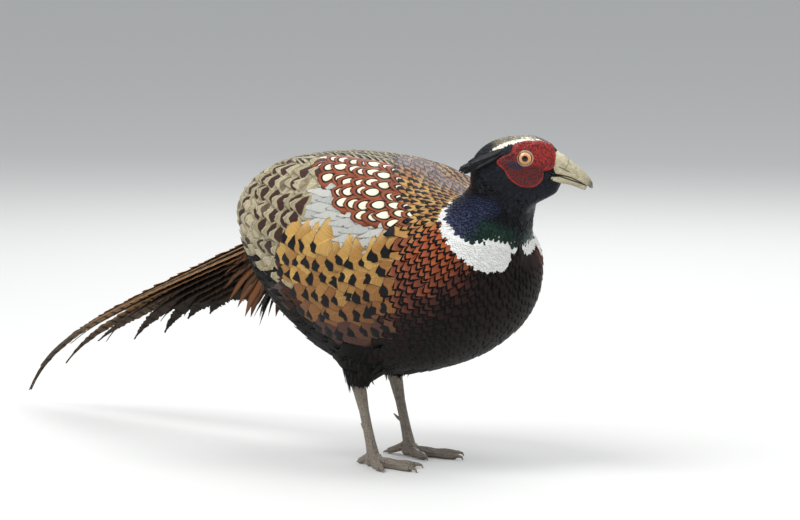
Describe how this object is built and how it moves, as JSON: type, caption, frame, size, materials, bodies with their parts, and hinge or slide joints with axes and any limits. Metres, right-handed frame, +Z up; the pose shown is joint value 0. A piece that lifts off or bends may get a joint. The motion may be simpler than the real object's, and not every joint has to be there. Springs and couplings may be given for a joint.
{
  "type": "common pheasant",
  "caption": "Standing cock pheasant at life size, a still model with folded wings, long graduated tail and head turned to its left.",
  "frame": {"origin": "centre of the bounding box's base, on the floor under the bird", "axes": "+X from tail to breast, +Y to the bird's left, +Z up"},
  "size_m": [0.6704, 0.1592, 0.2631],
  "materials": {
    "plumage_copper": "overlapping body feathers",
    "plumage_buff": "overlapping wing feathers",
    "plumage_tail": "long barred feathers",
    "plumage_green": "glossy short feathers",
    "plumage_black": "short soft feathers",
    "bare_skin": "granular bare skin",
    "bill_horn": "worn horn",
    "leg_scales": "scaly skin",
    "eye": "wet and glossy"
  },
  "bodies": {
    "root": {"torso": "plumage_copper", "neck": "plumage_green", "head": "plumage_green", "wing_left": "plumage_buff", "wing_right": "plumage_buff", "tail": "plumage_tail", "thigh_left": "plumage_black", "thigh_right": "plumage_black", "leg_left": "leg_scales", "leg_right": "leg_scales", "bill_upper": "bill_horn", "bill_lower": "bill_horn", "wattle_left": "bare_skin", "wattle_right": "bare_skin", "eye_left": "eye", "eye_right": "eye"}
  },
  "joints": []
}
